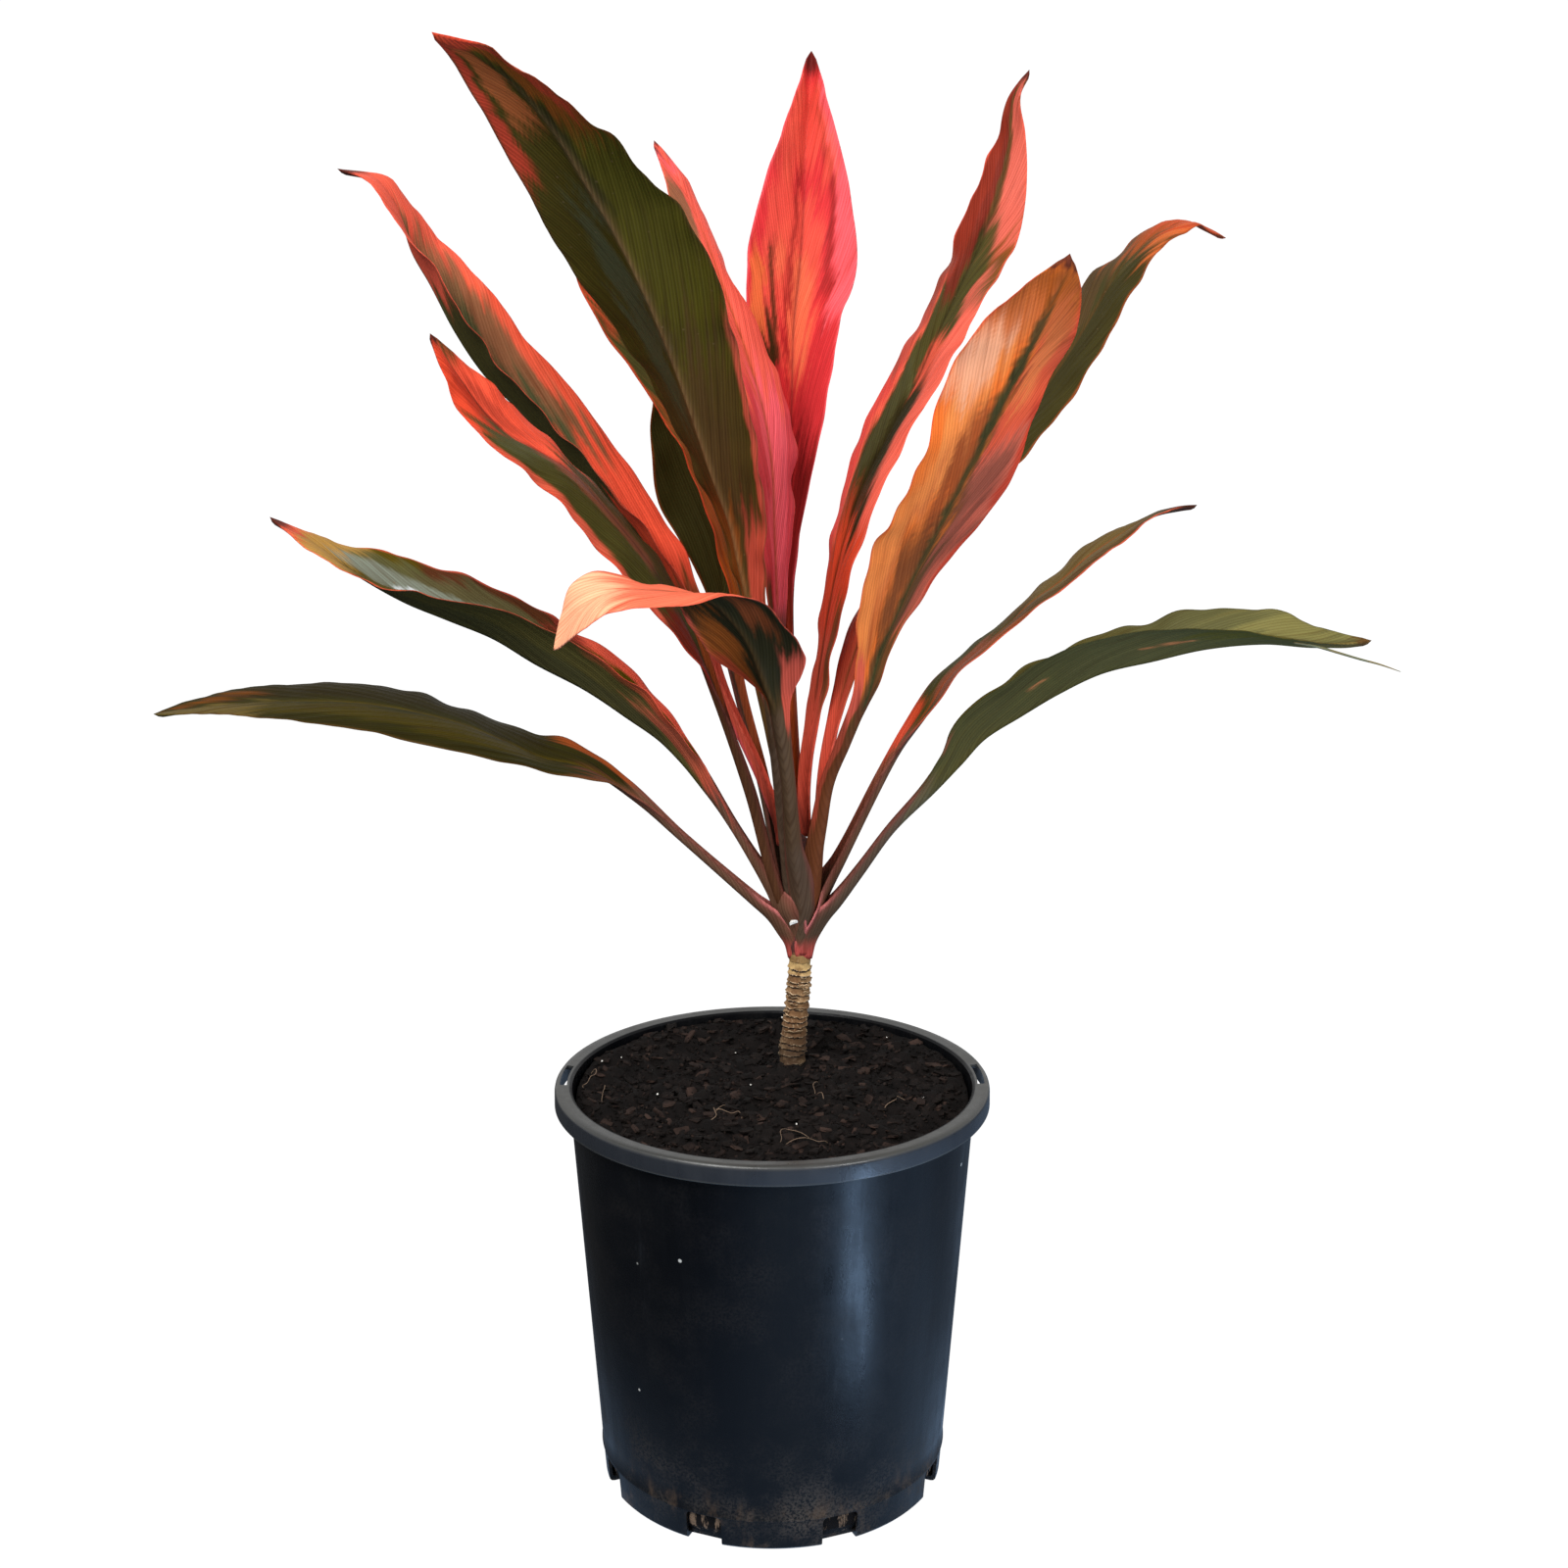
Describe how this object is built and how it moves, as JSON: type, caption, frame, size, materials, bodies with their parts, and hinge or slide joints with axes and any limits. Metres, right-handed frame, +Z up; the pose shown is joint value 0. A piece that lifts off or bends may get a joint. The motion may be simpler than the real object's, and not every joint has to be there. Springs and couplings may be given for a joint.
{
  "type": "ti plant",
  "caption": "Ti plant in a round nursery pot: a short ringed cane in soil carries a fan of long wavy green and coral-red leaves on channelled petioles.",
  "frame": {"origin": "centre of the pot's underside, on the pot's axis", "axes": "+Z up along the pot's axis; -Y towards the viewer of the picture; +X to the viewer's right"},
  "size_m": [0.5373, 0.3957, 0.6583],
  "materials": {
    "pot": "semi-matt injection-moulded black plastic with dust and scuffs",
    "soil": "rough bark fines with a few pale rootlets",
    "stem": "papery tan cane with close leaf-scar rings",
    "green_leaf": "satin, dark olive green with coral margins and fine long veins",
    "red_leaf": "satin, coral and crimson with fine long veins"
  },
  "bodies": {
    "root": {"pot": "pot", "soil": "soil", "stem": "stem", "leaf_01": "green_leaf", "leaf_02": "green_leaf", "leaf_03": "green_leaf", "leaf_04": "green_leaf", "leaf_05": "green_leaf", "leaf_06": "red_leaf", "leaf_07": "red_leaf", "leaf_08": "green_leaf", "leaf_09": "red_leaf", "leaf_10": "green_leaf", "leaf_11": "red_leaf", "leaf_12": "green_leaf", "leaf_13": "green_leaf", "leaf_14": "green_leaf", "leaf_15": "red_leaf"}
  },
  "joints": []
}
